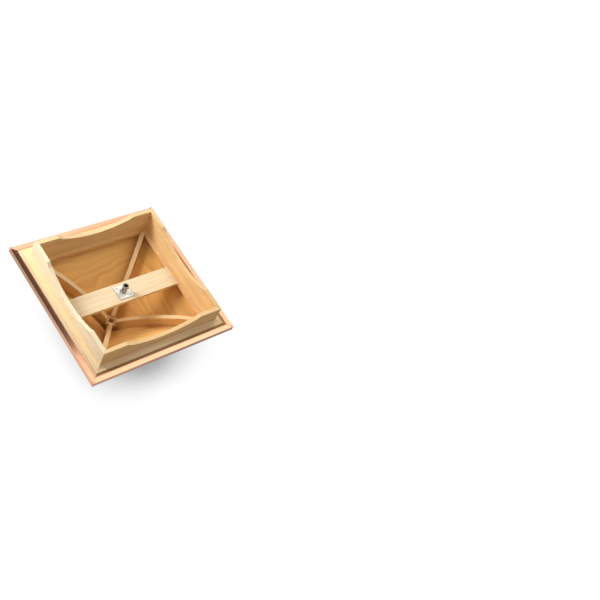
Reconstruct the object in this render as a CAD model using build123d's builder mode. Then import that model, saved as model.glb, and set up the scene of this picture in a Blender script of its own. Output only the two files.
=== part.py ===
from build123d import *
from math import hypot, sqrt
import os

# Roof section of a square cupola, peak up, standing on the four corner feet of its apron.
# The origin is on the floor under the peak. Sizes are in millimetres.

# Overall
roof_side = 800.0          # across the copper edge
eave_overhang = 70.0       # from the apron out to the copper edge
apron_reveal = 104.0       # from the feet up to the underside of the copper lip
roof_rise = 363.0          # from the eave up to the peak, on the underside of the plywood
roof_sag = 33.0            # how far the roof curves in from a straight slope

# Apron boards
apron_thick = 19.0
apron_height = 133.0
foot_width = 125.0         # flat foot at each end of a board
arch_rise = 50.0           # height of the arched cut above the feet
shoulder_run = 20.0        # short steep step at each end of the arch
shoulder_rise = 14.0

# Eave
copper_thick = 0.7
lip_width = 25.0           # copper turned in under the soffit
hem_thick = 1.6            # rolled inner edge of the lip
hem_width = 4.0
soffit_thick = 19.0
cove_height = 14.0
cove_reach = 30.0
cove_edge = 3.0            # flat edges of the cove moulding

# Base frame and cross beam
rail_width = 38.0
rail_thick = 19.0
beam_width = 108.0
beam_thick = 19.0

# Weathervane bracket
plate_side = 76.0
plate_thick = 3.0
plate_corner = 2.0
socket_bore = 21.0
socket_wall = 2.9
socket_length = 50.0
collar_wall = 1.6          # how far the collar stands out from the pipe
collar_height = 9.0
screw_diameter = 6.4
screw_drop = 17.0          # from the plate down to the set screws
screw_neck = 4.0           # shank between the pipe and the head
screw_head = 11.0          # across the flats
screw_head_height = 6.0

# Rafters and hub
rafter_thick = 21.0
rafter_depth = 82.0        # upright depth beside the hub
rafter_sag = 29.0          # how far the lower edge curves in from a straight line
hub_thick = 13.0
hub_hole = 22.0            # across the square way for the rod of the weathervane
hub_nub = 5.0              # how far each block runs past its neighbour
hub_rise = 14.0            # how far the blocks stand back above the rafters' lower edge

# Roof skins
ply_thick = 6.0
seam_width = 12.0
seam_height = 2.4
cap_half = 52.0            # half of the apex cap, in plan
cap_thick = 1.0
cap_bore = 22.0            # round hole for the rod in the cap and its collar
collar_rise = 26.0         # height of the collar above its foot on the cap
collar_thick = 3.0

# Fits
gap = 0.3                  # between pieces that seat on each other
mitre = 0.2                # each side of a mitred corner

# Heights and half widths that follow from the sizes
roof_half = roof_side / 2
apron_half = roof_half - eave_overhang
apron_inner = apron_half - apron_thick
lip_top = apron_reveal + copper_thick
soffit_bottom = lip_top + gap
soffit_top = soffit_bottom + soffit_thick
eave_half = roof_half - copper_thick - gap
rail_inner = apron_half - rail_width
rail_top = apron_height + rail_thick
plate_bottom = apron_height - plate_thick
hub_reach = hub_hole / 2 + hub_thick

# The underside of the plywood is an arc from the eave up to the peak, hollow on the outside.
# Its centre lies outside and above the roof, square to the middle of the chord.
chord = hypot(eave_half, roof_rise)
curve_radius = chord**2 / (8 * roof_sag) + roof_sag / 2
centre_reach = (curve_radius - roof_sag) / chord
curve_r = eave_half / 2 + centre_reach * roof_rise
curve_z = soffit_top + gap + roof_rise / 2 + centre_reach * eave_half
ply_radius = curve_radius - ply_thick
sheet_radius = ply_radius - gap
copper_radius = sheet_radius - copper_thick

# Turn of each side about the upright axis, and of each hip
SIDES = {"right": 0, "back": 90, "left": 180, "front": 270}
HIPS = {"back_right": 0, "back_left": 90, "front_left": 180, "front_right": 270}

HIP_PLANE = Plane(origin=(0, 0, 0), x_dir=(1, 1, 0), z_dir=(1, -1, 0))


def skin_height(radius, reach):
    """Height of a roof curve of this radius at a distance from the axis."""
    return curve_z - sqrt(radius**2 - (curve_r - reach) ** 2)


def roof_body(radius, half):
    """Four-sided solid under a roof curve, out to half a side."""
    peak = skin_height(radius, 0)
    with BuildPart() as body:
        for number, plane in enumerate((Plane.XZ, Plane.YZ)):
            with BuildSketch(plane):
                Rectangle(2 * half, 2 * peak, align=(Align.CENTER, Align.MIN))
                with Locations((curve_r, curve_z), (-curve_r, curve_z)):
                    Circle(radius, mode=Mode.SUBTRACT)
            extrude(amount=half, both=True, mode=Mode.INTERSECT if number else Mode.ADD)
    return body.part


def quarter(inner, outer, height):
    """Upright prism over one mitred quarter of the plan, on the right side."""
    slack = mitre * sqrt(2)
    with BuildPart() as prism:
        with BuildSketch():
            with BuildLine():
                Polyline(
                    (inner, inner - slack),
                    (outer, outer - slack),
                    (outer, slack - outer),
                    (inner, slack - inner),
                    close=True,
                )
            make_face()
        extrude(amount=height)
    return prism.part


def skin(inner_radius, outer_radius, inner, outer):
    """One curved triangular panel between two roof curves."""
    top = skin_height(outer_radius, inner)
    with BuildPart() as panel:
        with BuildSketch(Plane.XZ):
            with Locations((curve_r, curve_z)):
                Circle(inner_radius)
                Circle(outer_radius, mode=Mode.SUBTRACT)
            with Locations((inner, 0)):
                Rectangle(outer - inner, 2 * top, align=Align.MIN, mode=Mode.INTERSECT)
        extrude(amount=outer, both=True)
        add(quarter(inner, outer, 2 * top), mode=Mode.INTERSECT)
    return panel.part


def save(name, solid):
    solid.label = name
    export_step(solid, f"parts/{name}.step")


def save_turned(kind, solid, turns):
    """Writes the same piece at each turn about the upright axis."""
    for place, turn in turns.items():
        with BuildPart() as piece:
            add(solid, rotation=(0, 0, turn))
        save(f"{kind}_{place}", piece.part)


os.makedirs("parts", exist_ok=True)

# Apron board: flat feet at the ends, a steep shoulder, then one shallow arc between them
arch_half = apron_half - foot_width
arc_half = arch_half - shoulder_run
with BuildPart() as apron:
    with BuildSketch(Plane.YZ.offset(apron_inner)):
        with BuildLine():
            arch = ThreePointArc((-arc_half, shoulder_rise), (0, arch_rise), (arc_half, shoulder_rise))
            Polyline(
                arch @ 1,
                (arch_half, 0),
                (apron_half, 0),
                (apron_half, apron_height),
                (-apron_half, apron_height),
                (-apron_half, 0),
                (-arch_half, 0),
                arch @ 0,
            )
        make_face()
    extrude(amount=apron_thick)
    add(quarter(apron_inner, apron_half, apron_height), mode=Mode.INTERSECT)
save_turned("apron", apron.part, SIDES)

# Soffit board, flat, from the apron out to the copper edge
with BuildPart() as soffit:
    with BuildSketch(Plane.XZ):
        with Locations((apron_half + gap, soffit_bottom)):
            Rectangle(eave_half - apron_half - gap, soffit_thick, align=Align.MIN)
    extrude(amount=roof_half, both=True)
    add(quarter(apron_half + gap, eave_half, rail_top), mode=Mode.INTERSECT)
save_turned("soffit", soffit.part, SIDES)

# Cove moulding in the corner between the apron and the soffit
cove_r = apron_half + gap
with BuildPart() as cove:
    with BuildSketch(Plane.XZ):
        with BuildLine():
            sweep_start = (cove_r + cove_edge, soffit_bottom - cove_height)
            sweep_end = (cove_r + cove_reach, soffit_bottom - cove_edge)
            Polyline(sweep_end, (cove_r + cove_reach, soffit_bottom), (cove_r, soffit_bottom))
            Polyline((cove_r, soffit_bottom), (cove_r, soffit_bottom - cove_height), sweep_start)
            SagittaArc(sweep_start, sweep_end, cove_edge)
        make_face()
    extrude(amount=roof_half, both=True)
    add(quarter(cove_r, cove_r + cove_reach, rail_top), mode=Mode.INTERSECT)
save_turned("cove_moulding", cove.part, SIDES)

# Copper edge: an upright fascia, and a lip with a rolled hem turned in under the soffit
fascia_top = skin_height(copper_radius, eave_half)
with BuildPart() as edge:
    with BuildSketch(Plane.XZ):
        with Locations((roof_half, apron_reveal)):
            Rectangle(copper_thick, fascia_top - apron_reveal, align=(Align.MAX, Align.MIN))
            Rectangle(lip_width, copper_thick, align=(Align.MAX, Align.MIN))
        with Locations((roof_half - lip_width, lip_top)):
            Rectangle(hem_width, hem_thick, align=(Align.MIN, Align.MAX))
    extrude(amount=roof_half, both=True)
    add(quarter(roof_half - lip_width, roof_half, rail_top), mode=Mode.INTERSECT)
save_turned("copper_edge", edge.part, SIDES)

# Base frame rail, flat on the apron and standing in past it as a ledge
with BuildPart() as rail:
    with BuildSketch(Plane.XZ):
        with Locations((rail_inner, apron_height)):
            Rectangle(rail_width, rail_thick, align=Align.MIN)
    extrude(amount=apron_half, both=True)
    add(quarter(rail_inner, apron_half, rail_top), mode=Mode.INTERSECT)
save_turned("base_rail", rail.part, SIDES)

# Cross beam, let in flush between two rails, with a hole for the rod
with BuildPart() as cross_beam:
    with BuildSketch(Plane.XY.offset(apron_height)):
        Rectangle(2 * (rail_inner - gap), beam_width)
        Circle(socket_bore / 2, mode=Mode.SUBTRACT)
    extrude(amount=beam_thick)
save("cross_beam", cross_beam.part)

# Steel plate under the beam
with BuildPart() as bracket_plate:
    with BuildSketch(Plane.XY.offset(plate_bottom)):
        RectangleRounded(plate_side, plate_side, plate_corner)
        Circle(socket_bore / 2, mode=Mode.SUBTRACT)
    extrude(amount=plate_thick)
save("bracket_plate", bracket_plate.part)

# Pipe socket under the plate, with a collar at its open end and a threaded hole on each side
socket_radius = socket_bore / 2 + socket_wall
with BuildPart() as vane_socket:
    with BuildSketch(Plane.XY.offset(plate_bottom - socket_length)):
        Circle(socket_radius)
    extrude(amount=socket_length)
    with BuildSketch(Plane.XY.offset(plate_bottom - socket_length)):
        Circle(socket_radius + collar_wall)
    extrude(amount=collar_height)
    with BuildSketch(Plane.XY.offset(plate_bottom - socket_length)):
        Circle(socket_bore / 2)
    extrude(amount=socket_length, mode=Mode.SUBTRACT)
    with BuildSketch(Plane.YZ):
        with Locations((0, plate_bottom - screw_drop)):
            Circle(screw_diameter / 2)
    extrude(amount=2 * socket_radius, both=True, mode=Mode.SUBTRACT)
save("vane_socket", vane_socket.part)

# Two set screws, hexagon heads outwards, which grip the rod
screw_tip = socket_bore / 2 + gap
screw_seat = socket_radius + screw_neck
with BuildPart() as set_screws:
    for way in (1, -1):
        with BuildSketch(Plane(origin=(way * screw_tip, 0, plate_bottom - screw_drop), z_dir=(way, 0, 0))):
            Circle(screw_diameter / 2 - gap / 2)
        extrude(amount=screw_seat - screw_tip)
        with BuildSketch(Plane(origin=(way * screw_seat, 0, plate_bottom - screw_drop), z_dir=(way, 0, 0))):
            RegularPolygon(screw_head / 2, 6, major_radius=False)
        extrude(amount=screw_head_height)
save("set_screws", set_screws.part)

# Hip rafter: upright board on the diagonal, its lower edge an arc from the hub down to the ledge,
# its foot notched over the base frame and its top planed to meet both panels
under_ply = curve_radius + gap
hub_r = hub_reach / sqrt(2)
rafter_low = skin_height(under_ply, hub_r) - rafter_depth
foot_reach = rail_inner * sqrt(2)
tail_reach = apron_half * sqrt(2)
with BuildPart() as rafter:
    with BuildSketch(HIP_PLANE):
        with BuildLine():
            lower = SagittaArc((foot_reach, apron_height), (hub_reach + gap, rafter_low), rafter_sag)
            Polyline(
                lower @ 1,
                (hub_reach + gap, soffit_top + roof_rise),
                (tail_reach, soffit_top + roof_rise),
                (tail_reach, apron_height),
                lower @ 0,
            )
        make_face()
    extrude(amount=rafter_thick / 2, both=True)
    with BuildSketch(Plane.XY.offset(apron_height)):
        Rectangle(roof_side, roof_side)
        Rectangle(2 * (rail_inner - gap), 2 * (rail_inner - gap), mode=Mode.SUBTRACT)
    extrude(amount=rail_thick + gap, mode=Mode.SUBTRACT)
    add(roof_body(under_ply, roof_half), mode=Mode.INTERSECT)
save_turned("hip_rafter", rafter.part, HIPS)

# Hub block: four of them lap round the hole for the rod, each square to one rafter
hub_far = hub_reach + hub_nub
hub_bottom = rafter_low + hub_rise
hub_top = skin_height(under_ply, (hub_reach + hub_far) / sqrt(2))
with BuildPart() as hub_block:
    with BuildSketch(Plane.XY.offset(hub_bottom)):
        with Locations(Location((0, 0, 0), (0, 0, -45))):
            with Locations((-hub_hole / 2, hub_hole / 2)):
                Rectangle(hub_far + hub_hole / 2, hub_thick, align=Align.MIN)
    extrude(amount=hub_top - hub_bottom)
save_turned("hub_block", hub_block.part, HIPS)

# Plywood subroof and the copper sheets over it, open at the peak for the rod
save_turned("subroof", skin(curve_radius, ply_radius, hub_hole / 2, eave_half), SIDES)
save_turned("copper_roof", skin(sheet_radius, copper_radius, hub_hole / 2, eave_half), SIDES)

# Hip seam: a low folded rib over each hip, from the apex cap to the eave
seam_seat = copper_radius - gap
with BuildPart() as seam:
    with BuildSketch(HIP_PLANE):
        with Locations((cap_half * sqrt(2) + gap, 0)):
            Rectangle(eave_half * sqrt(2) - seam_width - cap_half * sqrt(2), 2 * curve_z, align=Align.MIN)
    extrude(amount=seam_width / 2, both=True)
    add(roof_body(seam_seat - seam_height, roof_side), mode=Mode.INTERSECT)
    add(roof_body(seam_seat, roof_side), mode=Mode.SUBTRACT)
save_turned("hip_seam", seam.part, HIPS)

# Apex cap: a folded four-sided cap over the sheets, with a round hole for the rod
cap_seat = copper_radius - gap
cap_top = cap_seat - cap_thick
with BuildPart() as apex_cap:
    add(roof_body(cap_top, cap_half))
    add(roof_body(cap_seat, cap_half), mode=Mode.SUBTRACT)
    with BuildSketch():
        Circle(cap_bore / 2)
    extrude(amount=2 * curve_z, mode=Mode.SUBTRACT)
save("apex_cap", apex_cap.part)

# Rod collar: a short tube soldered on the cap, its foot scribed to the four slopes
collar_radius = cap_bore / 2 + collar_thick
with BuildPart() as rod_collar:
    with BuildSketch():
        Circle(collar_radius)
        Circle(cap_bore / 2, mode=Mode.SUBTRACT)
    extrude(amount=skin_height(cap_top, collar_radius) + collar_rise)
    add(roof_body(cap_top, roof_half), mode=Mode.SUBTRACT)
save("rod_collar", rod_collar.part)
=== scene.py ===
from math import radians

import bmesh
import bpy
from bpy.props import FloatProperty, FloatVectorProperty, PointerProperty
from mathutils import Matrix, Vector


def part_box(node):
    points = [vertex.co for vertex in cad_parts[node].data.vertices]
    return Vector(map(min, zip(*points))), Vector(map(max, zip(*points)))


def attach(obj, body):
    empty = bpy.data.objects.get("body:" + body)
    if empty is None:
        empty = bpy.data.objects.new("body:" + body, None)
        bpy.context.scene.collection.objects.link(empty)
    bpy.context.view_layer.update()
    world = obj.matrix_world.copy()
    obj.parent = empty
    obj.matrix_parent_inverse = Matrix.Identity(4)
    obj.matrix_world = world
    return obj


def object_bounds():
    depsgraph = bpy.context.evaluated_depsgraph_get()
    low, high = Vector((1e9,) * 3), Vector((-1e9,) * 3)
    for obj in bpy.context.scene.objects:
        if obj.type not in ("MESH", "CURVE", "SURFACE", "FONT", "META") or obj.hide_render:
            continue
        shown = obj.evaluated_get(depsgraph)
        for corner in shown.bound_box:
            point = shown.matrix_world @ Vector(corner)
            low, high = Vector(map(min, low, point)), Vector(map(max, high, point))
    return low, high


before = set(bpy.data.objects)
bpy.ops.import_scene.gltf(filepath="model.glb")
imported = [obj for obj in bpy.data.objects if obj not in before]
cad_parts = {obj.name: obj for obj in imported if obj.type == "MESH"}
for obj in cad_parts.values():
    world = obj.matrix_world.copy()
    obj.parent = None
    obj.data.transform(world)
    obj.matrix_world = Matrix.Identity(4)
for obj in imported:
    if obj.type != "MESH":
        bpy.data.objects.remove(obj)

bl_info = {
    "name": "Cupola roof section",
    "version": (1, 0, 0),
    "blender": (4, 5, 0),
    "location": "3D View > Sidebar > Cupola",
    "description": "Finishes, small fastenings and a studio for the roof section of a cupola",
    "category": "Object",
}

CAD_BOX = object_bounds()

# Turn of the boards of each side, and of each hip in plan, in degrees
SIDES = {"front": 0, "right": 90, "back": 180, "left": 270}
HIPS = {"back_right": 45, "back_left": 135, "front_left": 225, "front_right": 315}
RAFTER_PITCH = 33
ROOF_SLOPE = 43

# Faces that meet at less than this are shaded as one
SMOOTH_ANGLE = radians(35)

# Board kinds: how far the pith of the tree lies from the middle of the board, across it and above it
PITH = {
    "apron": (0.075, 0.012),
    "soffit": (0.015, 0.060),
    "cove_moulding": (0.060, 0.050),
    "base_rail": (0.078, 0.012),
    "hip_rafter": (0.085, 0.020),
    "hub_block": (0.020, 0.060),
    "cross_beam": (0.018, 0.064),
}

# Boards and panels that came from darker or redder trees: a tint over the colours of their wood. Some
# tints also paint light and shade: painted shade darkens the front and left soffits, the back rail and
# the hub blocks, and painted light pales the left rail and lifts the front apron and front cove.
TINTS_AND_PAINTED_SHADE = {
    "cross_beam": (0.96, 1.04, 1.2),
    "apron_right": (1.0, 1.12, 1.40),
    "apron_left": (0.94, 0.87, 0.76),
    "apron_back": (0.98, 0.97, 0.96),
    "apron_front": (1.12, 1.04, 0.96),
    "soffit_right": (0.90, 0.94, 1.12),
    "soffit_front": (0.38, 0.33, 0.25),
    "subroof_back": (1.11, 1.20, 1.26),
    "subroof_left": (0.96, 0.93, 0.84),
    "soffit_left": (0.62, 0.45, 0.32),
    "cove_moulding_right": (0.95, 0.96, 1.0),
    "cove_moulding_front": (1.12, 1.12, 1.25),
    "base_rail": (0.92, 0.80, 0.64),
    "base_rail_back": (0.90, 0.78, 0.64),
    "base_rail_left": (1.0, 0.86, 0.76),
    "hub_block": (0.80, 0.68, 0.52),
}

# Copper kinds: coarseness of the marks, radius of the creases, how worn, the colour along the creases (a
# painted highlight on the sheet and the folded seams, a painted shade on the eave strip), and how far a
# lip that was folded in springs back, as a slope
COPPER = {
    "sheet": ((2.0, 90.0, 90.0), 0.0006, 1.0, (0.95, 0.62, 0.42), 0),
    "strip": ((2.0, 90.0, 90.0), 0.0015, 0.3, (0.75, 0.32, 0.18), 0.05),
    "folded": ((12.0, 60.0, 60.0), 0.0012, 1.0, (0.95, 0.62, 0.42), 0),
}

# What gloss sees of the room: how far a direction rises, from straight down at -1 to straight up at 1,
# and how bright it is there
ROOM_TONES = (
    (-0.3, 0.8), (0.0, 0.9), (0.3, 1.0), (0.54, 1.0), (0.61, 0.62), (0.665, 0.32), (0.7, 0.35),
    (0.76, 0.68), (0.8, 0.45), (0.875, 0.85), (0.96, 0.62), (1.0, 0.38),
)


# Property groups


class WoodLook(bpy.types.PropertyGroup):
    """Planed softwood of the apron, frame, beam and rafters"""

    early: FloatVectorProperty(
        name="Early wood", description="Pale wood between the rings",
        subtype="COLOR", min=0, max=1, default=(0.90, 0.70, 0.42),
    )
    late: FloatVectorProperty(
        name="Late wood", description="Darker wood of the rings",
        subtype="COLOR", min=0, max=1, default=(0.72, 0.44, 0.18),
    )
    ring_width: FloatProperty(
        name="Ring width", description="Distance between two rings of the tree",
        unit="LENGTH", min=0.001, default=0.0065,
    )
    wander: FloatProperty(
        name="Wander", description="How far the rings stray from round",
        unit="LENGTH", min=0, default=0.016,
    )
    roughness: FloatProperty(
        name="Roughness", description="Roughness of the planed face", min=0, max=1, default=0.56
    )
    edge_radius: FloatProperty(
        name="Edge radius", description="Radius of the eased edges of the boards",
        unit="LENGTH", min=0, default=0.0009,
    )


class PlywoodLook(bpy.types.PropertyGroup):
    """Peeled veneer on the plywood of the subroof"""

    early: FloatVectorProperty(
        name="Early wood", description="Amber wood between the rings",
        subtype="COLOR", min=0, max=1, default=(0.85, 0.51, 0.185),
    )
    late: FloatVectorProperty(
        name="Late wood", description="Brown wood of the rings",
        subtype="COLOR", min=0, max=1, default=(0.56, 0.28, 0.08),
    )
    ring_width: FloatProperty(
        name="Ring width", description="Distance between two bands of the veneer",
        unit="LENGTH", min=0.001, default=0.046,
    )
    wander: FloatProperty(
        name="Wander", description="How far the bands stray from straight",
        unit="LENGTH", min=0, default=0.26,
    )
    roughness: FloatProperty(
        name="Roughness", description="Roughness of the veneer", min=0, max=1, default=0.6
    )


class CopperLook(bpy.types.PropertyGroup):
    """Bright copper sheet with a little handling on it"""

    bright: FloatVectorProperty(
        name="Bright copper", description="Clean sheet",
        subtype="COLOR", min=0, max=1, default=(0.88, 0.455, 0.27),
    )
    dull: FloatVectorProperty(
        name="Dull copper", description="Sheet that has begun to darken",
        subtype="COLOR", min=0, max=1, default=(0.56, 0.25, 0.14),
    )
    roughness: FloatProperty(
        name="Roughness", description="Roughness of the clean sheet", min=0, max=1, default=0.15
    )
    strip_roughness: FloatProperty(
        name="Strip roughness", description="Roughness of the folded edge of the eave",
        min=0, max=1, default=0.12,
    )
    waviness: FloatProperty(
        name="Waviness", description="Depth of the slow waves in the sheet",
        unit="LENGTH", min=0, default=0.003,
    )


class SteelLook(bpy.types.PropertyGroup):
    """Zinc on the plate, and plain steel on the pipe and its screws"""

    zinc: FloatVectorProperty(
        name="Zinc", description="Bright zinc plating",
        subtype="COLOR", min=0, max=1, default=(0.88, 0.85, 0.79),
    )
    pipe: FloatVectorProperty(
        name="Pipe steel", description="Plain steel of the pipe",
        subtype="COLOR", min=0, max=1, default=(0.30, 0.265, 0.22),
    )
    # The mill scale colour also paints shade: in the bore of the pipe, and on the cut sides of the plate
    scale: FloatVectorProperty(
        name="Mill scale", description="Dark scale in the bore and in patches on the pipe",
        subtype="COLOR", min=0, max=1, default=(0.12, 0.085, 0.055),
    )


class ScrewSizes(bpy.types.PropertyGroup):
    """Pan-head screws that hold the bracket plate to the beam"""

    head_radius: FloatProperty(
        name="Head radius", description="Radius of the head", unit="LENGTH", min=0.001, default=0.0042
    )
    head_height: FloatProperty(
        name="Head height", description="Height of the head", unit="LENGTH", min=0.0005, default=0.0022
    )
    recess_length: FloatProperty(
        name="Recess length", description="Length of each arm of the cross recess",
        unit="LENGTH", min=0.001, default=0.0048,
    )
    recess_width: FloatProperty(
        name="Recess width", description="Width of each arm of the cross recess",
        unit="LENGTH", min=0.0002, default=0.001,
    )
    inset: FloatProperty(
        name="Inset", description="From the edge of the plate to the middle of a screw",
        unit="LENGTH", min=0.004, default=0.013,
    )


class FoldSizes(bpy.types.PropertyGroup):
    """Folded copper ears that close the corners of the eave"""

    reach: FloatProperty(
        name="Reach", description="How far an ear runs along each side from the corner",
        unit="LENGTH", min=0.004, default=0.015,
    )
    thickness: FloatProperty(
        name="Thickness", description="Thickness of the folded sheet",
        unit="LENGTH", min=0.0002, default=0.0008,
    )


class StudioSetup(bpy.types.PropertyGroup):
    """Camera, lamps and pale surroundings"""

    camera_place: FloatVectorProperty(
        name="Camera", description="Place of the camera",
        subtype="TRANSLATION", unit="LENGTH", default=(2.017, -1.7765, -3.371),
    )
    camera_aim: FloatVectorProperty(
        name="Aim", description="Point in the middle of the picture",
        subtype="TRANSLATION", unit="LENGTH", default=(-0.9321, -0.366, 0.2),
    )
    camera_roll: FloatProperty(
        name="Roll", description="Turn of the camera about its own axis",
        subtype="ANGLE", default=radians(-34.705),
    )
    lens: FloatProperty(name="Lens", description="Focal length in millimetres", min=1, default=53.17)
    key_power: FloatProperty(
        name="Key power", description="Power of the lamp beside the right side, in watts",
        min=0, default=50,
    )
    under_power: FloatProperty(
        name="Under power", description="Power of the lamp below the opening, in watts",
        min=0, default=24,
    )
    top_power: FloatProperty(
        name="Top power", description="Power of the lamp over the roof, in watts", min=0, default=20
    )
    surround: FloatProperty(
        name="Surround", description="Strength of the even light from all round", min=0, default=0.36
    )


GROUPS = {
    "cupola_wood": WoodLook,
    "cupola_plywood": PlywoodLook,
    "cupola_copper": CopperLook,
    "cupola_steel": SteelLook,
    "cupola_screws": ScrewSizes,
    "cupola_folds": FoldSizes,
    "cupola_studio": StudioSetup,
}


# Node trees


class Nodes:
    """A node tree, with short ways to add and join its nodes"""

    def __init__(self, tree):
        self.tree = tree

    def join(self, value, socket):
        if isinstance(value, bpy.types.NodeSocket):
            self.tree.links.new(value, socket)
        else:
            socket.default_value = value

    def add(self, kind, values=None, **settings):
        node = self.tree.nodes.new("ShaderNode" + kind)
        for key, value in settings.items():
            setattr(node, key, value)
        for key, value in (values or {}).items():
            self.join(value, node.inputs[key])
        return node

    def math(self, operation, *values, clamp=False):
        return self.add("Math", dict(enumerate(values)), operation=operation, use_clamp=clamp).outputs[0]

    def vector(self, operation, *values):
        """A number for a length or a dot product, and a vector for the rest."""
        node = self.add("VectorMath", dict(enumerate(values)), operation=operation)
        return node.outputs["Value" if operation in ("LENGTH", "DOT_PRODUCT") else "Vector"]

    def along(self, vector, axis):
        return self.add("SeparateXYZ", {"Vector": vector}).outputs[axis]

    def band(self, value, low, high, at_low=0.0, at_high=1.0):
        """Soft step from at_low to at_high, while the value goes from low to high."""
        ranges = {"Value": value, "From Min": low, "From Max": high, "To Min": at_low, "To Max": at_high}
        return self.add("MapRange", ranges, interpolation_type="SMOOTHSTEP").outputs[0]

    def ramp(self, factor, stops):
        """Grey curve through (position, level) stops."""
        node = self.add("ValToRGB", {"Fac": factor})
        node.color_ramp.interpolation = "EASE"
        marks = node.color_ramp.elements
        while len(marks) < len(stops):
            marks.new(0.5)
        for mark, (position, level) in zip(marks, stops):
            mark.position = position
            mark.color = (level, level, level, 1)
        return node.outputs[0]

    def noise(self, place, stretch, detail=2.0, shift=0.0, output="Fac"):
        """Noise that is as coarse along each axis as stretch, in patches per metre, says."""
        spread = self.add("Mapping", {"Vector": place, "Location": (shift, shift, 0), "Scale": stretch})
        cloud = self.add("TexNoise", {"Vector": spread.outputs[0], "Scale": 1.0, "Detail": detail})
        return cloud.outputs[output]

    def mix(self, factor, first, second):
        """A number between two others."""
        return self.add("Mix", {0: factor, 2: first, 3: second}).outputs[0]

    def blend(self, factor, first, second, mode="MIX"):
        """A colour between two others."""
        node = self.add("Mix", {0: factor, 6: first, 7: second}, data_type="RGBA", blend_type=mode)
        return node.outputs[2]

    def layer(self, body, mark, strength, shade, mode="MULTIPLY"):
        """Lays a shade over the body where the mark shows, no stronger than strength."""
        return self.blend(self.math("MULTIPLY", mark, strength), body, shade, mode)


# Materials


class Recipe(Nodes):
    """One material and its shader"""

    def __init__(self, name):
        self.material = bpy.data.materials.new(name)
        self.material.use_nodes = True
        super().__init__(self.material.node_tree)
        self.shader = self.tree.nodes["Principled BSDF"]

    def shade(self, **values):
        """Fills sockets of the shader: spaces in their names are written as underscores."""
        for key, value in values.items():
            self.join(value, self.shader.inputs[key.replace("_", " ")])

    def place(self):
        """Coordinates of the piece, in metres."""
        return self.add("TexCoord").outputs["Object"]

    def true_normal(self):
        return self.add("NewGeometry").outputs["True Normal"]

    def edges(self, radius, sharpness=5.0):
        """Rounded normal near the edges, and how near to an edge a point is, from 0 to 1."""
        rounded = self.add("Bevel", {"Radius": radius}, samples=6).outputs[0]
        facing = self.vector("DOT_PRODUCT", rounded, self.true_normal())
        turned = self.math("SUBTRACT", 1.0, facing)
        return rounded, self.math("MULTIPLY", turned, sharpness, clamp=True)

    def bump(self, height, distance, strength, normal=None):
        values = {"Height": height, "Distance": distance, "Strength": strength}
        if normal:
            values["Normal"] = normal
        return self.add("Bump", values).outputs[0]


def colour(value, tint_and_shade=(1, 1, 1)):
    return (*[min(1, channel * part) for channel, part in zip(value, tint_and_shade)], 1.0)


def board_space(recipe, node, turn, pitch, pith, lean, roll=0):
    """Coordinates with X along the grain, counted from the pith of the tree that the board came from."""
    low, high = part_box(node)
    lay = (
        Matrix.Rotation(lean, 3, "Z")
        @ Matrix.Rotation(lean, 3, "Y")
        @ Matrix.Rotation(radians(-roll), 3, "X")
        @ Matrix.Rotation(radians(-pitch), 3, "Y")
        @ Matrix.Rotation(radians(-turn), 3, "Z")
    )
    start = Vector((0, *pith)) - lay @ ((low + high) / 2)
    values = {"Vector": recipe.place(), "Location": start, "Rotation": lay.to_euler()}
    return recipe.add("Mapping", values).outputs[0]


def grain(recipe, space, ring_width, wander, seed):
    """Rings, fibres and long streaks of wood. Each is a level from 0 to 1."""
    stray = recipe.noise(space, (1.6, 7.0, 7.0), detail=3.0, shift=seed * 1.7, output="Color")
    stray = recipe.vector("SUBTRACT", stray, (0.5, 0.5, 0.5))
    stray = recipe.vector("MULTIPLY", stray, (0, wander, wander))
    bent = recipe.vector("ADD", space, stray)
    reach = recipe.vector("LENGTH", recipe.vector("MULTIPLY", bent, (0, 1, 1)))
    count = recipe.math("DIVIDE", reach, ring_width)
    season = recipe.math("FRACT", count)
    late = recipe.ramp(season, ((0.0, 0.0), (0.4, 0.1), (0.8, 0.75), (0.92, 1.0), (1.0, 0.0)))

    # Each year's ring is darker or paler than the next
    palest, spread = 0.4, 0.6
    year = recipe.math("FLOOR", count)
    harvest = recipe.add("TexWhiteNoise", {"W": year}, noise_dimensions="1D").outputs[0]
    rings = recipe.math("MULTIPLY", late, recipe.math("MULTIPLY_ADD", harvest, spread, palest))
    fibres = recipe.noise(space, (9.0, 520.0, 520.0), detail=3.0, shift=seed)
    streaks = recipe.noise(space, (1.1, 46.0, 46.0), detail=4.0, shift=seed * 0.7)
    return rings, fibres, streaks


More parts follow.
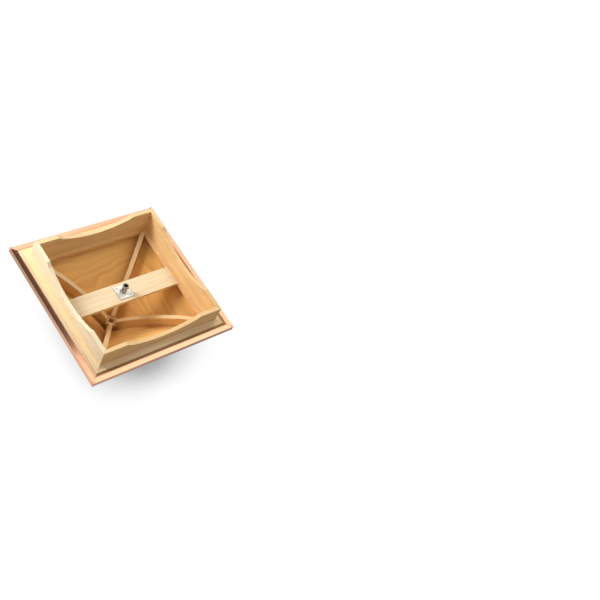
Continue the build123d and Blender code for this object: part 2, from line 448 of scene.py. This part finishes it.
def wood_material(name, node, turn, pitch, pith, look, seed, tint_and_shade):
    """Wood for one board. Its grain runs along the board and starts at a place of its own."""
    recipe = Recipe(name)
    lean = 0.006 + 0.004 * (seed % 3)
    space = board_space(recipe, node, turn, pitch, pith, lean)
    rings, fibres, streaks = grain(recipe, space, look.ring_width, look.wander, seed)
    tone = 0.95 + 0.06 * ((seed * 0.618) % 1)
    tint_and_shade = [part * tone for part in tint_and_shade]
    body = recipe.layer(colour(look.early, tint_and_shade), rings, 0.45, colour(look.late, tint_and_shade), mode="MIX")
    warm = recipe.ramp(streaks, ((0.35, 0.0), (0.7, 1.0)))
    body = recipe.layer(body, warm, 0.5, shade=(0.90, 0.78, 0.60, 1))
    dark = recipe.ramp(fibres, ((0.3, 1.0), (0.55, 0.0)))
    body = recipe.layer(body, dark, 0.4, shade=(0.80, 0.66, 0.50, 1))
    # Paler along the eased edges: partly raised fibres from wear, partly a painted highlight
    rounded, edge = recipe.edges(look.edge_radius)
    body = recipe.layer(body, edge, 0.35, shade=(1.0, 0.92, 0.76, 1), mode="SCREEN")
    relief = recipe.math("ADD", recipe.math("MULTIPLY", rings, 0.6), fibres)
    spread = 0.16
    recipe.shade(
        Base_Color=body,
        Roughness=recipe.math("MULTIPLY_ADD", fibres, spread, look.roughness - spread / 2),
        Normal=recipe.bump(relief, distance=0.0004, strength=0.35, normal=rounded),
        Specular_IOR_Level=0.35,
    )
    return recipe.material


def plywood_material(name, node, turn, look, seed, tint_and_shade):
    """Peeled veneer: broad, soft and wavy figure that fades in and out, with short fibres."""
    recipe = Recipe(name)
    space = board_space(recipe, node, turn, 0, (0, 0), 0.02, ROOF_SLOPE)
    flat = recipe.vector("MULTIPLY", space, (1, 1, 0))
    swell = recipe.noise(flat, (2.6, 5.0, 1), shift=seed * 1.3)
    ripple = recipe.noise(flat, (7.0, 24.0, 1), shift=seed * 0.9)
    ripple_wander = look.wander * 0.05
    across = recipe.along(flat, "Y")
    stray = recipe.math("MULTIPLY", swell, look.wander)
    stray = recipe.math("ADD", stray, recipe.math("MULTIPLY", ripple, ripple_wander))
    count = recipe.math("DIVIDE", recipe.math("ADD", across, stray), look.ring_width)
    season = recipe.math("FRACT", count)
    late = recipe.ramp(season, ((0.0, 0.0), (0.42, 0.5), (0.74, 1.0), (1.0, 0.0)))
    shown = recipe.ramp(recipe.noise(flat, (2.2, 6.0, 1), shift=seed * 2.1), ((0.35, 0.25), (0.65, 1.0)))
    broad = recipe.ramp(recipe.noise(flat, (0.8, 5.0, 1), shift=seed * 0.4), ((0.35, 0.0), (0.7, 1.0)))
    fibres = recipe.noise(space, (11.0, 480.0, 480.0), detail=3.0, shift=seed)
    figure = recipe.math("MULTIPLY", late, shown)
    body = recipe.layer(colour(look.early, tint_and_shade), figure, 0.72, colour(look.late, tint_and_shade), mode="MIX")
    body = recipe.layer(body, broad, 0.5, shade=(0.90, 0.80, 0.66, 1))
    dark = recipe.ramp(fibres, ((0.3, 1.0), (0.5, 0.0)))
    body = recipe.layer(body, dark, 0.35, shade=(0.82, 0.68, 0.50, 1))
    recipe.shade(
        Base_Color=body,
        Roughness=look.roughness,
        Normal=recipe.bump(fibres, distance=0.0003, strength=0.4),
        Specular_IOR_Level=0.3,
    )
    return recipe.material


def copper_material(name, kind, turn, look, roughness):
    """Copper sheet. Its rolling marks run along the side, and rain would run across them."""
    stretch, fold, worn, crease, spring = COPPER[kind]
    recipe = Recipe(name)
    values = {"Vector": recipe.place(), "Rotation": (0, 0, radians(-turn))}
    space = recipe.add("Mapping", values).outputs[0]
    clouds = recipe.noise(space, (4.0, 5.0, 5.0), detail=4.0)
    spots = recipe.noise(space, (34.0, 30.0, 30.0), detail=5.0, shift=3.0)
    rolled = recipe.noise(space, stretch, detail=3.0, shift=1.0)
    rain = recipe.noise(space, (38.0, 1.6, 1.6), detail=4.0, shift=7.0)
    waves = recipe.noise(space, (3.0, 4.2, 4.2), detail=1.0, shift=5.0)

    # Wear that both darkens and dulls the sheet
    marks = (
        (recipe.ramp(clouds, ((0.42, 0.0), (0.72, 1.0))), 0.42),
        (recipe.ramp(spots, ((0.55, 0.0), (0.72, 1.0))), 0.15),
        (recipe.ramp(rain, ((0.4, 0.0), (0.7, 1.0))), 0.05),
    )
    wear = 0.0
    for mark, share in marks:
        wear = recipe.math("ADD", wear, recipe.math("MULTIPLY", mark, share))
    wear = recipe.math("MULTIPLY", wear, worn)
    body = recipe.blend(wear, colour(look.bright), colour(look.dull))
    body = recipe.layer(body, rolled, 0.05, shade=(0.86, 0.74, 0.68, 1))
    # Along the creases: a painted highlight on the sheet and the seams, a painted shade on the eave strip
    rounded, edge = recipe.edges(fold)
    body = recipe.layer(body, edge, 0.5, shade=colour(crease), mode="MIX")
    clean, rolled_share = 0.6, 0.35
    rough = recipe.math("ADD", recipe.math("MULTIPLY", rolled, rolled_share), wear)
    rough = recipe.math("MULTIPLY", recipe.math("ADD", rough, clean), roughness)

    outward = Matrix.Rotation(radians(turn), 3, "Z") @ Vector((0, -spring, 0))
    leaning = recipe.vector("ADD", rounded, outward)
    wavy = recipe.bump(waves, look.waviness, strength=0.8, normal=leaning)
    recipe.shade(
        Base_Color=body,
        Metallic=1.0,
        Roughness=rough,
        Normal=recipe.bump(rolled, distance=0.00008, strength=0.4, normal=wavy),
    )
    return recipe.material


def plate_material(look):
    """Zinc plating with faint spangle and scuffs, paler edges that are a painted highlight, and dark
    sides where the plate was cut, partly bare steel and partly painted shade.
    """
    recipe = Recipe("zinc_plate")
    place = recipe.place()
    grains = recipe.add("TexVoronoi", {"Vector": place, "Scale": 260.0}).outputs["Color"]
    grains = recipe.add("SeparateColor", {"Color": grains}).outputs[0]
    scuffs = recipe.noise(place, (60.0, 900.0, 60.0), detail=3.0)
    body = recipe.layer(colour(look.zinc), grains, 0.14, shade=(0.60, 0.58, 0.55, 1), mode="MIX")
    # Painted highlight: the edges of the plate are paler
    rounded, edge = recipe.edges(0.0008)
    body = recipe.layer(body, edge, 0.6, shade=(0.93, 0.93, 0.93, 1), mode="MIX")
    # Dark sides where the plate was cut: partly bare steel, partly painted shade
    upright = recipe.math("ABSOLUTE", recipe.along(recipe.true_normal(), "Z"))
    sheared_and_shaded = recipe.math("LESS_THAN", upright, 0.5)
    body = recipe.blend(sheared_and_shaded, body, colour(look.scale))
    recipe.shade(
        Base_Color=body,
        Metallic=0.4,
        Roughness=recipe.math("MULTIPLY_ADD", scuffs, 0.2, 0.36),
        Normal=recipe.bump(scuffs, distance=0.00006, strength=0.3, normal=rounded),
    )
    return recipe.material


def pipe_material(look):
    """Plain steel, paler along its edges, partly turned bright at the rim and partly a painted highlight,
    with mill scale in patches, and in the bore mill scale with painted shade.
    """
    recipe = Recipe("pipe_steel")
    place = recipe.place()
    patches = recipe.noise(place, (70.0, 70.0, 40.0), detail=5.0)
    turned = recipe.noise(place, (4.0, 4.0, 1600.0))
    radius = recipe.vector("LENGTH", recipe.vector("MULTIPLY", place, (1, 1, 0)))
    per_metre = 50.0
    # The bore is darkened with the colour of mill scale: partly mill scale, partly painted shade inside
    # the pipe. It joins the patches of scale below.
    bore_stops = ((0.0105 * per_metre, 1.0), (0.0109 * per_metre, 0.0))
    bore = recipe.ramp(recipe.math("MULTIPLY", radius, per_metre, clamp=True), bore_stops)
    scale = recipe.ramp(patches, ((0.5, 0.0), (0.68, 1.0)))
    scale = recipe.math("MULTIPLY_ADD", scale, 0.5, bore, clamp=True)
    body = recipe.blend(scale, colour(look.pipe), colour(look.scale))
    # Paler along the edges: partly bright cut steel, partly a painted highlight
    rounded, edge = recipe.edges(0.0008)
    body = recipe.layer(body, edge, 0.9, shade=(0.92, 0.90, 0.84, 1), mode="MIX")
    recipe.shade(
        Base_Color=body,
        Metallic=1.0,
        Roughness=recipe.math("MULTIPLY_ADD", scale, 0.3, 0.18),
        Normal=recipe.bump(turned, distance=0.00006, strength=0.5, normal=rounded),
    )
    return recipe.material


def screw_material(look):
    """Dull steel of the screw heads, in patches of zinc."""
    recipe = Recipe("screw_steel")
    marks = recipe.noise(recipe.place(), (300.0, 300.0, 300.0), detail=4.0)
    zinc = recipe.ramp(marks, ((0.35, 0.0), (0.65, 1.0)))
    body = recipe.blend(zinc, colour(look.pipe), colour(look.zinc))
    rounded, _ = recipe.edges(0.0005)
    recipe.shade(
        Base_Color=body,
        Metallic=0.8,
        Roughness=recipe.math("MULTIPLY_ADD", marks, 0.3, 0.3),
        Normal=recipe.bump(marks, distance=0.0001, strength=0.3, normal=rounded),
    )
    return recipe.material


def finish_node(name, material):
    """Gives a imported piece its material."""
    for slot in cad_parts[name].material_slots:
        slot.material = material


# Modelling helpers


def leave_edit_mode():
    if bpy.context.object and bpy.context.object.mode != "OBJECT":
        bpy.ops.object.mode_set(mode="OBJECT")


def clear_selection():
    leave_edit_mode()
    bpy.ops.object.select_all(action="DESELECT")


def pick(piece, kind, test):
    """In edit mode, selects only the faces, edges or vertices that pass the test."""
    mesh = bmesh.from_edit_mesh(piece.data)
    bpy.ops.mesh.select_all(action="DESELECT")
    for item in getattr(mesh, kind):
        item.select_set(test(item))
    mesh.select_flush_mode()
    bmesh.update_edit_mesh(piece.data)


def settle(piece):
    """Puts a piece's place into its mesh, so that its object sits at the origin."""
    clear_selection()
    piece.select_set(True)
    bpy.context.view_layer.objects.active = piece
    bpy.ops.object.transform_apply(location=True, rotation=True, scale=True)


def use_modifiers(piece):
    clear_selection()
    piece.select_set(True)
    bpy.context.view_layer.objects.active = piece
    for modifier in list(piece.modifiers):
        bpy.ops.object.modifier_apply(modifier=modifier.name)


def copy_turned(piece, name, degrees):
    """A copy with its own mesh, turned about the upright axis of the roof."""
    twin = piece.copy()
    twin.data = piece.data.copy()
    twin.name = name
    twin.data.transform(Matrix.Rotation(radians(degrees), 4, "Z"))
    bpy.context.scene.collection.objects.link(twin)
    return twin


# Pieces


def make_screw(sizes, material):
    """One pan-head screw, head down, at the first corner of the plate."""
    low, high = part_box("bracket_plate")
    seat = low.z
    rounding = 0.6
    place = high.x - sizes.inset
    clear_selection()
    bpy.ops.mesh.primitive_cylinder_add(
        vertices=40,
        radius=sizes.head_radius,
        depth=sizes.head_height,
        location=(place, place, seat - sizes.head_height / 2),
    )
    head = bpy.context.object
    bpy.ops.object.mode_set(mode="EDIT")
    bpy.ops.mesh.select_mode(type="FACE")
    pick(head, "faces", lambda face: face.normal.z < -0.9)
    bpy.ops.mesh.bevel(offset=sizes.head_height * rounding, segments=5, affect="EDGES")
    bpy.ops.object.mode_set(mode="OBJECT")
    for turn in (45, 135):
        clear_selection()
        bpy.ops.mesh.primitive_cube_add(
            size=1,
            location=(place, place, seat - sizes.head_height),
            rotation=(0, 0, radians(turn)),
            scale=(sizes.recess_length, sizes.recess_width, sizes.head_height * 1.1),
        )
        cutter = bpy.context.object
        cut = head.modifiers.new("Recess", "BOOLEAN")
        cut.operation = "DIFFERENCE"
        cut.object = cutter
        use_modifiers(head)
        bpy.data.objects.remove(cutter)
    settle(head)
    bpy.ops.object.shade_smooth_by_angle(angle=SMOOTH_ANGLE)
    head.name = "plate_screw_1"
    head.data.materials.append(material)
    return head


def make_corner_fold(sizes, material):
    """One folded ear: it laps both faces of the copper edge and turns in under the lip."""
    low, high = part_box("copper_edge_right")
    clear_of_strip = 0.0003
    below_seam = 0.002
    taper = 0.35
    base = low.z - clear_of_strip
    top = high.z - below_seam
    corner = high.x + clear_of_strip
    trim = corner - sizes.reach * 0.9
    clear_selection()
    bpy.ops.mesh.primitive_cube_add(
        size=1,
        location=(corner - sizes.reach / 2, corner - sizes.reach / 2, (base + top) / 2),
        scale=(sizes.reach, sizes.reach, top - base),
    )
    fold = bpy.context.object
    settle(fold)
    bpy.ops.object.mode_set(mode="EDIT")
    bpy.ops.mesh.select_mode(type="FACE")
    pick(fold, "faces", lambda face: face.normal.z > 0.9 or face.normal.x < -0.9 or face.normal.y < -0.9)
    bpy.ops.mesh.delete(type="FACE")
    bpy.ops.mesh.select_all(action="SELECT")
    bpy.ops.mesh.bisect(
        plane_co=(trim, corner, base),
        plane_no=(-1, -1, 0),
        clear_outer=True,
    )
    for way in ((-1, 0, taper), (0, -1, taper)):
        bpy.ops.mesh.select_all(action="SELECT")
        bpy.ops.mesh.bisect(
            plane_co=(trim, trim, base),
            plane_no=way,
            clear_outer=True,
        )
    bpy.ops.object.mode_set(mode="OBJECT")
    wall = fold.modifiers.new("Sheet", "SOLIDIFY")
    wall.thickness = sizes.thickness
    wall.offset = 1
    crease = fold.modifiers.new("Crease", "BEVEL")
    crease.width = 0.0004
    crease.segments = 2
    use_modifiers(fold)
    bpy.ops.object.shade_smooth_by_angle(angle=SMOOTH_ANGLE)
    fold.name = "corner_fold_back_right"
    fold.data.materials.append(material)
    return fold


# Operators


class CUPOLA_OT_wood(bpy.types.Operator):
    """Gives every softwood board its own grain"""

    bl_idname = "cupola.wood"
    bl_label = "Softwood boards"

    def execute(self, context):
        look = context.scene.cupola_wood
        boards = []
        for kind in ("apron", "soffit", "cove_moulding", "base_rail"):
            boards += [(f"{kind}_{side}", kind, turn, 0) for side, turn in SIDES.items()]
        boards += [(f"hip_rafter_{hip}", "hip_rafter", turn, RAFTER_PITCH) for hip, turn in HIPS.items()]
        boards += [(f"hub_block_{hip}", "hub_block", turn - 90, 0) for hip, turn in HIPS.items()]
        boards.append(("cross_beam", "cross_beam", 0, 0))
        for seed, (node, kind, turn, pitch) in enumerate(boards):
            # For some boards the tint is painted shade or painted light for the place where the board
            # sits
            tint_and_shade = TINTS_AND_PAINTED_SHADE.get(node, TINTS_AND_PAINTED_SHADE.get(kind, (1, 1, 1)))
            wood = wood_material(f"softwood_{node}", node, turn, pitch, PITH[kind], look, seed, tint_and_shade)
            finish_node(node, wood)
        return {"FINISHED"}


class CUPOLA_OT_plywood(bpy.types.Operator):
    """Gives the four plywood panels their peeled veneer"""

    bl_idname = "cupola.plywood"
    bl_label = "Plywood panels"

    def execute(self, context):
        look = context.scene.cupola_plywood
        for seed, (side, turn) in enumerate(SIDES.items()):
            node = f"subroof_{side}"
            tint_and_shade = TINTS_AND_PAINTED_SHADE.get(node, (1, 1, 1))
            finish_node(node, plywood_material(f"plywood_{side}", node, turn, look, seed + 3, tint_and_shade))
        return {"FINISHED"}


class CUPOLA_OT_copper(bpy.types.Operator):
    """Gives the sheets, edges, seams, cap and collar their copper"""

    bl_idname = "cupola.copper"
    bl_label = "Copper work"

    def execute(self, context):
        look = context.scene.cupola_copper
        for side, turn in SIDES.items():
            sheet = copper_material(f"copper_sheet_{side}", "sheet", turn, look, look.roughness)
            strip = copper_material(f"copper_strip_{side}", "strip", turn, look, look.strip_roughness)
            finish_node(f"copper_roof_{side}", sheet)
            finish_node(f"copper_edge_{side}", strip)
        folded = copper_material("copper_folded", "folded", 45, look, look.roughness)
        for hip in HIPS:
            finish_node(f"hip_seam_{hip}", folded)
        for node in ("apex_cap", "rod_collar"):
            finish_node(node, folded)
        return {"FINISHED"}


class CUPOLA_OT_bracket(bpy.types.Operator):
    """Gives the plate its zinc, and the pipe and set screws their plain steel"""

    bl_idname = "cupola.bracket"
    bl_label = "Bracket"

    def execute(self, context):
        look = context.scene.cupola_steel
        finish_node("bracket_plate", plate_material(look))
        pipe = pipe_material(look)
        for node in ("vane_socket", "set_screws"):
            finish_node(node, pipe)
        return {"FINISHED"}


class CUPOLA_OT_screws(bpy.types.Operator):
    """Adds the two screws at opposite corners of the bracket plate"""

    bl_idname = "cupola.screws"
    bl_label = "Plate screws"

    def execute(self, context):
        first = make_screw(context.scene.cupola_screws, screw_material(context.scene.cupola_steel))
        for screw in (first, copy_turned(first, "plate_screw_2", 180)):
            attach(screw, "root")
        return {"FINISHED"}


class CUPOLA_OT_folds(bpy.types.Operator):
    """Adds the folded ears at the four corners of the copper edge"""

    bl_idname = "cupola.folds"
    bl_label = "Corner folds"

    def execute(self, context):
        copper = bpy.data.materials["copper_folded"]
        first = make_corner_fold(context.scene.cupola_folds, copper)
        folds = [first]
        for turn, hip in ((90, "back_left"), (180, "front_left"), (270, "front_right")):
            folds.append(copy_turned(first, f"corner_fold_{hip}", turn))
        for fold in folds:
            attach(fold, "root")
        return {"FINISHED"}


def surround_world(strength):
    """White to the camera, and softly warm as light. Gloss sees a dimmer roof and one dark low corner."""
    world = bpy.data.worlds.new("Surround")
    world.use_nodes = True
    nodes = Nodes(world.node_tree)
    background = nodes.tree.nodes["Background"]

    way = nodes.add("TexCoord").outputs["Generated"]
    height = nodes.along(way, "Z")
    stops = [((rise + 1) / 2, level) for rise, level in ROOM_TONES]
    tone = nodes.ramp(nodes.math("MULTIPLY_ADD", height, 0.5, 0.5), stops)

    # Low down, the room is bright but for the corner behind and to the right, where it is dark
    brighter_aside = nodes.math("MULTIPLY_ADD", nodes.vector("DOT_PRODUCT", way, (1, 1, 0)), 0.3, 1.0)
    right = nodes.band(nodes.vector("DOT_PRODUCT", way, (1, 0, -0.43)), -0.02, 0.02)
    back = nodes.band(nodes.vector("DOT_PRODUCT", way, (0, 1, 0.42)), -0.02, 0.02)
    bright, dark = 2.1, 0.12
    corner = nodes.mix(nodes.math("MULTIPLY", right, back), bright, dark)
    below = nodes.band(height, -0.76, -0.62, at_low=1.0, at_high=0.0)
    gloss = nodes.math("MULTIPLY", tone, nodes.mix(below, brighter_aside, corner))

    ray = nodes.add("LightPath").outputs
    seen = ray["Is Camera Ray"]
    shiny = nodes.math("MAXIMUM", ray["Is Glossy Ray"], ray["Is Transmission Ray"])
    level = nodes.mix(seen, nodes.mix(shiny, strength, gloss), 1.0)
    hue = nodes.blend(nodes.math("MAXIMUM", seen, shiny), (1.0, 0.90, 0.76, 1), (1, 1, 1, 1))
    nodes.join(level, background.inputs["Strength"])
    nodes.join(hue, background.inputs["Color"])
    bpy.context.scene.world = world


def paper_material(name, white_from, white_to, lean, distance, greys):
    """Paper for the camera alone, and from its front only: white, with a soft shade near the object."""
    recipe = Recipe(name)
    towards = recipe.add("CombineXYZ", dict(zip("XYZ", lean))).outputs[0]
    values = {"Distance": distance, "Normal": towards}
    near = recipe.add("AmbientOcclusion", values, samples=16).outputs["AO"]
    far = recipe.band(recipe.vector("LENGTH", recipe.place()), white_from, white_to)
    paper = recipe.blend(far, recipe.ramp(near, greys), (1, 1, 1, 1))
    sheet = recipe.add("Emission", {"Color": paper, "Strength": 1.0}).outputs[0]
    clear = recipe.add("BsdfTransparent").outputs[0]
    seen = recipe.add("LightPath").outputs["Is Camera Ray"]
    front = recipe.math("SUBTRACT", 1.0, recipe.add("NewGeometry").outputs["Backfacing"])
    shown = recipe.math("MULTIPLY", seen, front)
    surface = recipe.add("MixShader", {0: shown, 1: clear, 2: sheet}).outputs[0]
    recipe.join(surface, recipe.tree.nodes["Material Output"].inputs["Surface"])
    recipe.tree.nodes.remove(recipe.shader)
    return recipe.material


def add_floor():
    """Wide paper floor, just under the feet."""
    clear_selection()
    bpy.ops.mesh.primitive_circle_add(vertices=64, radius=6, fill_type="NGON", location=(0, 0, -0.0005))
    floor = bpy.context.object
    floor.name = "floor"
    settle(floor)
    greys = ((0.0, 0.25), (0.4, 0.6), (0.7, 0.86), (0.94, 1.0))
    floor.data.materials.append(
        paper_material("floor_paper", 0.6, 2.4, lean=(-0.2, 0.25, 0.95), distance=0.3, greys=greys)
    )


def add_backdrop():
    """Sheet above the eaves with a hole for the roof. It faces down and takes the shadow from below."""
    size, height, hole = 8, 0.335, 0.131
    clear_selection()
    bpy.ops.mesh.primitive_plane_add(size=size, location=(0, 0, height), rotation=(radians(180), 0, 0))
    sheet = bpy.context.object
    sheet.name = "backdrop"
    settle(sheet)
    bpy.ops.object.mode_set(mode="EDIT")
    bpy.ops.mesh.select_mode(type="FACE")
    bpy.ops.mesh.select_all(action="SELECT")
    bpy.ops.mesh.inset(thickness=size / 2 - hole)
    bpy.ops.mesh.delete(type="FACE")
    bpy.ops.object.mode_set(mode="OBJECT")
    greys = ((0.2, 0.35), (0.3, 0.53), (0.4, 0.74), (0.5, 0.86), (0.63, 1.0))
    sheet.data.materials.append(
        paper_material("backdrop_paper", 0.6, 1.2, lean=(0.1, 0.62, -0.78), distance=0.3, greys=greys)
    )


def add_lamp(name, place, size, power):
    """Soft square lamp that faces the middle of the object. Metal doesn't show it."""
    clear_selection()
    middle = (CAD_BOX[0] + CAD_BOX[1]) / 2
    facing = (middle - Vector(place)).to_track_quat("-Z", "Y")
    bpy.ops.object.light_add(type="AREA", location=place, rotation=facing.to_euler())
    lamp = bpy.context.object
    lamp.name = name
    lamp.data.size = size
    lamp.data.energy = power
    lamp.visible_glossy = False


def add_camera(setup):
    bpy.ops.object.camera_add(location=setup.camera_place)
    camera = bpy.context.object
    camera.name = "camera"
    forward = (Vector(setup.camera_aim) - Vector(setup.camera_place)).normalized()
    level = forward.cross(Vector((0, 0, -1))).normalized()
    right = Matrix.Rotation(setup.camera_roll, 3, forward) @ level
    up = right.cross(forward)
    camera.rotation_euler = Matrix((right, up, -forward)).transposed().to_euler()
    camera.data.lens = setup.lens
    bpy.context.scene.camera = camera


class CUPOLA_OT_studio(bpy.types.Operator):
    """Adds the pale surroundings, the lamps and the camera"""

    bl_idname = "cupola.studio"
    bl_label = "Studio"

    def execute(self, context):
        setup = context.scene.cupola_studio
        surround_world(setup.surround)
        add_floor()
        add_backdrop()
        add_lamp("key_lamp", (1.4, 1.3, -1.0), 0.8, setup.key_power)
        add_lamp("under_lamp", (-1.2, 0.6, -1.8), 1.3, setup.under_power)
        add_lamp("top_lamp", (-0.2, 0.2, 3.2), 2.0, setup.top_power)
        add_camera(setup)
        context.scene.view_settings.view_transform = "Standard"
        return {"FINISHED"}


OPERATORS = (
    CUPOLA_OT_wood,
    CUPOLA_OT_plywood,
    CUPOLA_OT_copper,
    CUPOLA_OT_bracket,
    CUPOLA_OT_screws,
    CUPOLA_OT_folds,
    CUPOLA_OT_studio,
)


class CUPOLA_PT_panel(bpy.types.Panel):
    """Lists the steps in their order"""

    bl_idname = "CUPOLA_PT_panel"
    bl_label = "Cupola roof section"
    bl_space_type = "VIEW_3D"
    bl_region_type = "UI"
    bl_category = "Cupola"

    def draw(self, context):
        for operator in OPERATORS:
            self.layout.operator(operator.bl_idname)


CLASSES = (*GROUPS.values(), *OPERATORS, CUPOLA_PT_panel)


def register():
    for item in CLASSES:
        bpy.utils.register_class(item)
    for name, group in GROUPS.items():
        setattr(bpy.types.Scene, name, PointerProperty(type=group))


def unregister():
    for name in GROUPS:
        delattr(bpy.types.Scene, name)
    for item in reversed(CLASSES):
        bpy.utils.unregister_class(item)


def main():
    register()
    bpy.ops.cupola.wood()
    bpy.ops.cupola.plywood()
    bpy.ops.cupola.copper()
    bpy.ops.cupola.bracket()
    bpy.ops.cupola.screws()
    bpy.ops.cupola.folds()
    bpy.ops.cupola.studio()
    clear_selection()


if __name__ == "__main__":
    main()
